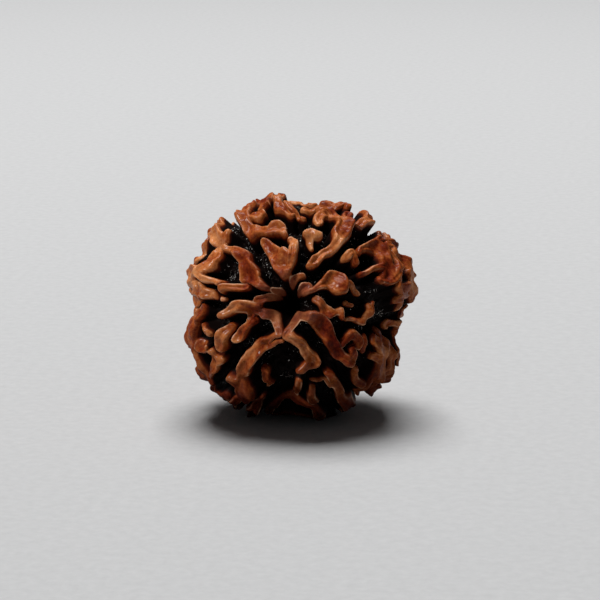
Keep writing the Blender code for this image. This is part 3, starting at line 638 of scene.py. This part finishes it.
def feed(tree, socket, term):
    """Links an output to the socket, or sets the socket to a number or a colour."""
    if isinstance(term, bpy.types.NodeSocket):
        tree.links.new(term, socket)
    else:
        socket.default_value = (*term, 1.0) if isinstance(term, tuple) else term


def worked(tree, operation, first, others):
    """first and each of the others in turn, outputs or numbers, put through Math nodes."""
    for other in others:
        node = add(tree, "Math", {"operation": operation})
        feed(tree, node.inputs[0], first)
        feed(tree, node.inputs[1], other)
        first = node.outputs["Value"]
    return first


def plus(tree, first, *others):
    """The sum of outputs and numbers."""
    return worked(tree, "ADD", first, others)


def times(tree, first, *others):
    """The product of outputs and numbers."""
    return worked(tree, "MULTIPLY", first, others)


def span(tree, value, low, high):
    """0 to 1 as value goes from low to high."""
    node = add(tree, "MapRange", {"interpolation_type": "SMOOTHSTEP"}, {"From Min": low, "From Max": high})
    tree.links.new(value, node.inputs["Value"])
    return node.outputs["Result"]


def ramp(tree, value, stops):
    """The colour at value, between (place, colour) stops."""
    node = add(tree, "ValToRGB", Fac=value)
    while len(node.color_ramp.elements) < len(stops):
        node.color_ramp.elements.new(0.5)
    for element, (place, colour) in zip(node.color_ramp.elements, stops):
        element.position = place
        element.color = (*colour, 1.0)
    return node.outputs["Color"]


def blended(tree, share, under, over, blend="MIX"):
    """under with share of over laid on it, each an output or a colour."""
    node = add(tree, "Mix", {"data_type": "RGBA", "blend_type": blend})
    tree.links.new(share, node.inputs[0])
    feed(tree, node.inputs[6], under)  # the node's pair of colours is at 6 and 7
    feed(tree, node.inputs[7], over)
    return node.outputs[2]


def mottle_group():
    """Three sizes of fractal noise over a piece, from its Object place: broad fields, blotches and grain.

    Fineness multiplies all three scales, which are in patches per metre.
    """
    tree = bpy.data.node_groups.new("mottle", "ShaderNodeTree")
    tree.interface.new_socket("Where", in_out="INPUT", socket_type="NodeSocketVector")
    tree.interface.new_socket("Fineness", in_out="INPUT", socket_type="NodeSocketFloat")
    for name in ("Broad", "Blotch", "Grain"):
        tree.interface.new_socket(name, in_out="OUTPUT", socket_type="NodeSocketFloat")
    given = tree.nodes.new("NodeGroupInput").outputs
    result = tree.nodes.new("NodeGroupOutput").inputs
    for name, scale, detail, roughness in (
        ("Broad", 190.0, 2.0, 0.50),
        ("Blotch", 620.0, 4.0, 0.60),
        ("Grain", 3600.0, 5.0, 0.65),
    ):
        kind = {"Detail": detail, "Roughness": roughness}
        fractal = add(tree, "TexNoise", sockets=kind, Vector=given["Where"])
        tree.links.new(times(tree, given["Fineness"], scale), fractal.inputs["Scale"])
        tree.links.new(fractal.outputs["Fac"], result[name])
    return tree


def mottled(tree, fineness):
    """The mottle of this piece: its Broad, Blotch and Grain outputs."""
    where = add(tree, "TexCoord").outputs["Object"]
    return add(tree, "Group", {"node_tree": mottle}, {"Fineness": fineness}, Where=where).outputs


def new_material(name):
    """An empty node material, its tree and its Principled shader."""
    material = bpy.data.materials.new(name)
    material.use_nodes = True
    return material, material.node_tree, material.node_tree.nodes["Principled BSDF"]


def mask_value(tree, name):
    """A mask that the mesh carries for each point."""
    return add(tree, "Attribute", {"attribute_name": name}).outputs["Fac"]


# The stone's colours: a crest's from its dark patches to its light ones, a wall's from its top
# to its foot, where its fall to near black is partly painted shade
CREST_TONES = (
    (0.38, (0.050, 0.003, 0.001)),
    (0.46, (0.145, 0.018, 0.003)),
    (0.53, (0.270, 0.064, 0.012)),
    (0.66, (0.530, 0.210, 0.075)),
)
WALL_AND_SHADE_TONES = (
    (0.06, (0.190, 0.028, 0.005)),
    (0.17, (0.060, 0.007, 0.0015)),
    (0.36, (0.0035, 0.0011, 0.0008)),
)
DULL_BROWN = (0.170, 0.055, 0.032)  # crests round the mouth, which fingers don't polish
PALE_EDGE_WEAR_AND_HIGHLIGHT = (0.700, 0.420, 0.260)  # along a crest's edge: partly bare worn wood, partly painted highlight
UNDERSIDE_SHADE = (0.26, 0.13, 0.11)  # painted shade: what is left of the colour low down on the bead's underside


def stone_material():
    """Oiled endocarp: black floor, red-brown walls darkening in painted shade, orange-brown crests
    with pale edges, partly worn and partly painted highlight.

    A crest's tone is a weighted sum of the three sizes of mottle, with a little painted light
    towards the top of the bead and painted shade in the crest's dish. Low down, painted shade
    darkens the colour. Distances beyond the crest's edge are in mm.
    """
    material, tree, shader = new_material("rudraksha_stone")
    patches = mottled(tree, 1.0)
    broad, blotch, grain = patches["Broad"], patches["Blotch"], patches["Grain"]
    beyond = mask_value(tree, "beyond")
    height = add(tree, "SeparateXYZ", Vector=add(tree, "TexCoord").outputs["Object"]).outputs["Z"]
    tone = plus(
        tree,
        times(tree, broad, 0.40),
        times(tree, blotch, 0.38),
        times(tree, grain, 0.22),
        # painted light: crests a little lighter towards the top of the bead
        times(tree, span(tree, height, 3 * MM, 16 * MM), 0.03),
        # painted shade: a little darker in the crest's dish
        times(tree, span(tree, beyond, -0.12, -0.42), -0.02),
    )
    top = ramp(tree, tone, CREST_TONES)
    top = blended(tree, times(tree, mask_value(tree, "mouth"), 0.55), top, DULL_BROWN)
    sunk = span(tree, beyond, -WALL_TOP / MM, WALL_FOOT / MM)
    sunk = plus(tree, sunk, times(tree, plus(tree, grain, -0.50), 0.12))
    sunk = plus(tree, sunk, times(tree, plus(tree, blotch, -0.55), 0.60))
    crest = span(tree, beyond, 0.06, 0.00)
    # walls darken to black towards the floor: partly the floor's own colour, partly painted shade
    colour = blended(tree, crest, ramp(tree, sunk, WALL_AND_SHADE_TONES), top)
    # painted shade: the colour darkens towards the bottom of the bead
    colour = blended(tree, span(tree, height, 8 * MM, 2 * MM), colour, UNDERSIDE_SHADE, "MULTIPLY")
    # pale edges, partly wear and partly painted highlight, on edges facing away from the mouth
    edge = times(tree, span(tree, beyond, -0.15, -0.06), span(tree, beyond, 0.01, -0.04))
    outer = span(tree, mask_value(tree, "outer"), -0.35, 0.55)
    worn = plus(tree, times(tree, span(tree, blotch, 0.42, 0.58), 0.75), 0.25)
    colour = blended(tree, times(tree, edge, outer, worn, 0.75), colour, PALE_EDGE_WEAR_AND_HIGHLIGHT)
    tree.links.new(colour, shader.inputs["Base Color"])
    tree.links.new(plus(tree, times(tree, blotch, 0.45), 0.40), shader.inputs["Roughness"])
    polished = times(tree, crest, span(tree, broad, 0.30, 0.65), span(tree, height, 1 * MM, 11 * MM))
    tree.links.new(times(tree, polished, 0.34), shader.inputs["Coat Weight"])
    shader.inputs["Coat Roughness"].default_value = 0.20
    shader.inputs["Specular IOR Level"].default_value = 0.05
    relief = plus(tree, times(tree, grain, 0.25), times(tree, blotch, 0.40), times(tree, edge, 0.25))
    bump = add(tree, "Bump", None, {"Strength": 0.55, "Distance": 0.12 * MM}, Height=relief)
    tree.links.new(bump.outputs["Normal"], shader.inputs["Normal"])
    return material


mottle = mottle_group()
ridges = all_ridges()
turns = (*FURROWS, FURROWS[0] + 360.0)
faces = [face_grid(first, last, ridges) for first, last in zip(turns, turns[1:])]

# The middle is the place, measured from the bead's own centre, that comes to lie at the
# origin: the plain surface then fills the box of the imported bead, with the flat at its foot.
plain = np.vstack([face[0] for face in faces]) @ bead_axes()
low, high = plain.min(axis=0), plain.max(axis=0)
box_low, box_high = (np.array(corner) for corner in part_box("rudraksha_bead"))
middle = np.array([(low[0] + high[0]) / 2, (low[1] + high[1]) / 2, low[2] + FLAT_DEPTH]) - np.array(
    [(box_low[0] + box_high[0]) / 2, (box_low[1] + box_high[1]) / 2, 0.0]
)
wood = stone_material()
bead_pieces = []
for name, (_, skin, masks, count) in zip(("upper", "left", "lower", "right"), faces):
    face = mesh_piece(name + "_face", skin, face_quads(ROWS + CHANNEL_ROWS, count), masks, wood)
    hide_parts("rudraksha_bead")
    bead_pieces.append(face)

# Dried threads and crumbs of the fruit's flesh cling to the bottom of the furrows, where
# neither brush nor fingers reach. They show as short pale specks, whose palest tones are
# partly painted glints.
THREADS = 1500
CRUMBS = 2200
THREAD_LENGTH = (0.12, 0.50)  # shortest and longest, mm
THREAD_BOW = (0.01, 0.10)  # how high the middle of one stands over its ends, mm
THREAD_RADIUS = (0.012, 0.030)  # mm
THREAD_RINGS = 5  # of points along one
THREAD_SIDES = 3
THREAD_LIFT = 0.08  # share of the bow by which its ends stand over the floor
CRUMB_SIZE = (0.03, 0.10)  # mm
CRUMB_STRETCH = (0.5, 1.4)  # along each of its axes
CRUMB_JITTER = 0.12  # how far its corners stray, in crumb sizes
CRUMB_FLATNESS = 0.6  # its height as a share of its width
CLUSTER_PITCH = 3.0 * MM  # from one cluster of them to the next
CLUSTER_BAR = (-0.2, 1.3)  # what waves and height have to pass where one lies, least and most
UPWARD = 0.8  # how much the height counts in that
CHANNEL_CLEAR = 0.985  # none lies nearer to the channel's axis than this cosine
# the palest of these tones are partly painted glints
FLESH_AND_GLINT_TONES = (
    (0.0, (0.004, 0.003, 0.002)),
    (0.60, (0.014, 0.010, 0.008)),
    (0.80, (0.16, 0.14, 0.12)),
    (1.0, (0.70, 0.67, 0.63)),
)


def valley_spots(count, seed, clear):
    """Directions of seeded places on the floor, clear of the crests' edges by that much.

    A place is kept where slow waves plus its height pass a random bar, so they stand in
    clusters, most of them high up.
    """
    draw = np.random.default_rng(seed)
    tries = unit(draw.normal(size=(count * 30, 3)))
    gathering = waves(tries, 61, CLUSTER_PITCH) + UPWARD * (tries @ bead_axes()[:, 2])
    clustered = gathering > draw.uniform(*CLUSTER_BAR, len(tries))
    tries = tries[clustered & (np.abs(tries[:, 2]) < CHANNEL_CLEAR)]
    gap, _, _ = ridge_field(tries, ridges)
    return tries[gap > clear][:count]


def threads(spots, seed):
    """Short bent hairs: a three-sided tube swept along an arc over each spot of the floor.

    Point = root + (along - 1/2) * length in the lying direction + bow * sine of along upwards
    + a ring of the hair's radius, which narrows to the tip.
    """
    draw = np.random.default_rng(seed)
    _, roots, _ = stone_skin(spots, ridges)
    count = len(spots)
    lying = unit(np.cross(spots, draw.normal(size=(count, 3))))
    across = np.cross(spots, lying)
    length, bow, radius = (
        draw.uniform(*least_and_most, (count, 1, 1, 1)) * MM
        for least_and_most in (THREAD_LENGTH, THREAD_BOW, THREAD_RADIUS)
    )
    roots, up, lying, across = (rows[:, None, None, :] for rows in (roots, spots, lying, across))
    along = np.linspace(0.0, 1.0, THREAD_RINGS)[:, None, None]
    turn = (np.arange(THREAD_SIDES) * 2 * math.pi / THREAD_SIDES)[:, None]
    spine = roots + lying * length * (along - 0.5) + up * bow * (np.sin(math.pi * along) + THREAD_LIFT)
    tube = spine + radius * (1.15 - along) * (across * np.cos(turn) + up * np.sin(turn))
    corner = np.arange(count * THREAD_RINGS * THREAD_SIDES).reshape(count, THREAD_RINGS, THREAD_SIDES)
    turned = np.roll(corner, -1, axis=2)
    quads = np.stack([corner[:, :-1], turned[:, :-1], turned[:, 1:], corner[:, 1:]], -1)
    tone = np.repeat(draw.random(count), THREAD_RINGS * THREAD_SIDES)
    return tube.reshape(-1, 3), quads.reshape(-1, 4), {"tone": tone}


def crumbs(spots, seed):
    """Flattened grains: an eight-sided double pyramid, pulled about by seeded noise, at each spot."""
    draw = np.random.default_rng(seed)
    _, roots, _ = stone_skin(spots, ridges)
    count = len(spots)
    corners = np.array([[1, 0, 0], [0, 1, 0], [-1, 0, 0], [0, -1, 0], [0, 0, 1], [0, 0, -1]], float)
    size = draw.uniform(*CRUMB_SIZE, (count, 1, 1)) * MM
    shape = corners * draw.uniform(*CRUMB_STRETCH, (count, 1, 3))
    shape = shape + draw.normal(0.0, CRUMB_JITTER, (count, len(corners), 3))
    one = unit(np.cross(spots, draw.normal(size=(count, 3))))
    axes = np.stack([one, np.cross(spots, one), CRUMB_FLATNESS * spots], 1)
    grains = roots[:, None, :] + size * np.einsum("nki,nij->nkj", shape, axes)
    upper = [[0, 1, 4], [1, 2, 4], [2, 3, 4], [3, 0, 4]]
    lower = [[1, 0, 5], [2, 1, 5], [3, 2, 5], [0, 3, 5]]
    tris = (np.arange(count) * len(corners))[:, None, None] + np.array(upper + lower)
    return grains.reshape(-1, 3), tris.reshape(-1, 3), {"tone": np.repeat(draw.random(count), len(corners))}


def residue_material():
    """Dried flesh: from dark brown to grey-white, the grey-white partly a painted glint, a little glossy
    with oil.
    """
    material, tree, shader = new_material("dried_flesh")
    tree.links.new(ramp(tree, mask_value(tree, "tone"), FLESH_AND_GLINT_TONES), shader.inputs["Base Color"])
    rough = plus(tree, times(tree, mottled(tree, 2.0)["Grain"], 0.3), 0.20)
    tree.links.new(rough, shader.inputs["Roughness"])
    return material


residue = residue_material()
thread_spots = valley_spots(THREADS, 21, 0.30 * MM)
bead_pieces.append(mesh_piece("furrow_threads", *threads(thread_spots, 22), residue))
crumb_spots = valley_spots(CRUMBS, 23, 0.24 * MM)
bead_pieces.append(mesh_piece("furrow_crumbs", *crumbs(crumb_spots, 24), residue))

# The studio: a pale paper floor that runs out of sight, one wide soft light above and behind
# the bead, and a smaller one from its left front. That one falls on the bead alone, so that
# the shadow on the paper stays dark. The camera stands where the photograph was taken from.
FLOOR_REACH = 3.0
PAPER_TONES = ((0.3, (0.67, 0.672, 0.675)), (0.7, (0.73, 0.732, 0.735)))

floor_mesh = bpy.data.meshes.new("floor")
floor_corners = [(x * FLOOR_REACH, y * FLOOR_REACH, 0) for x, y in ((-1, -1), (1, -1), (1, 1), (-1, 1))]
floor_mesh.from_pydata(floor_corners, [], [(0, 1, 2, 3)])
floor = bpy.data.objects.new("floor", floor_mesh)
bpy.context.scene.collection.objects.link(floor)
paper, tree, shader = new_material("pale_paper")
tree.links.new(ramp(tree, mottled(tree, 0.3)["Grain"], PAPER_TONES), shader.inputs["Base Color"])
shader.inputs["Roughness"].default_value = 0.9
shader.inputs["Specular IOR Level"].default_value = 0.1
floor_mesh.materials.append(paper)

world = bpy.data.worlds.new("studio")
bpy.context.scene.world = world
world.use_nodes = True
world.node_tree.nodes["Background"].inputs["Color"].default_value = (0.97, 0.98, 1.0, 1.0)
world.node_tree.nodes["Background"].inputs["Strength"].default_value = 0.045


def looking(thing, place, way):
    """Puts a light or the camera at place, looking along way."""
    thing.location = place
    thing.rotation_euler = way.to_track_quat("-Z", "Y").to_euler()
    bpy.context.scene.collection.objects.link(thing)


def soft_light(name, place, aim, size, power):
    """A square area light at place, pointing at aim."""
    lamp = bpy.data.lights.new(name, "AREA")
    lamp.size = size
    lamp.energy = power
    light = bpy.data.objects.new(name, lamp)
    looking(light, place, Vector(aim) - Vector(place))
    return light


soft_light("overhead", place=(-0.07, 0.24, 0.76), aim=(0.0, 0.0, 0.01), size=0.46, power=6.3)
side = soft_light("side", place=(-0.34, -0.34, 0.58), aim=(0.0, 0.0, 0.012), size=0.20, power=5.4)
bead_only = bpy.data.collections.new("bead_only")
for piece in bead_pieces:
    bead_only.objects.link(piece)
side.light_linking.receiver_collection = bead_only

CAMERA_TURN = math.radians(8.0)  # to the right of the mouth
CAMERA_RISE = math.radians(13.0)
CAMERA_DISTANCE = 0.232
FRAME_WIDTH = 600.0  # pixels
BEAD_SHIFT = (-1.0, 6.5)  # how far the bead's centre lies left of the frame's middle and below it

away = Vector(
    (
        math.sin(CAMERA_TURN) * math.cos(CAMERA_RISE),
        -math.cos(CAMERA_TURN) * math.cos(CAMERA_RISE),
        math.sin(CAMERA_RISE),
    )
)
lens = bpy.data.cameras.new("camera")
lens.lens = 150.0
lens.sensor_width = 36.0
lens.clip_start = 0.01
lens.shift_x, lens.shift_y = (shift / FRAME_WIDTH for shift in BEAD_SHIFT)
camera = bpy.data.objects.new("camera", lens)
looking(camera, Vector(-middle) + away * CAMERA_DISTANCE, -away)
bpy.context.scene.camera = camera
bpy.context.scene.view_settings.view_transform = "Standard"
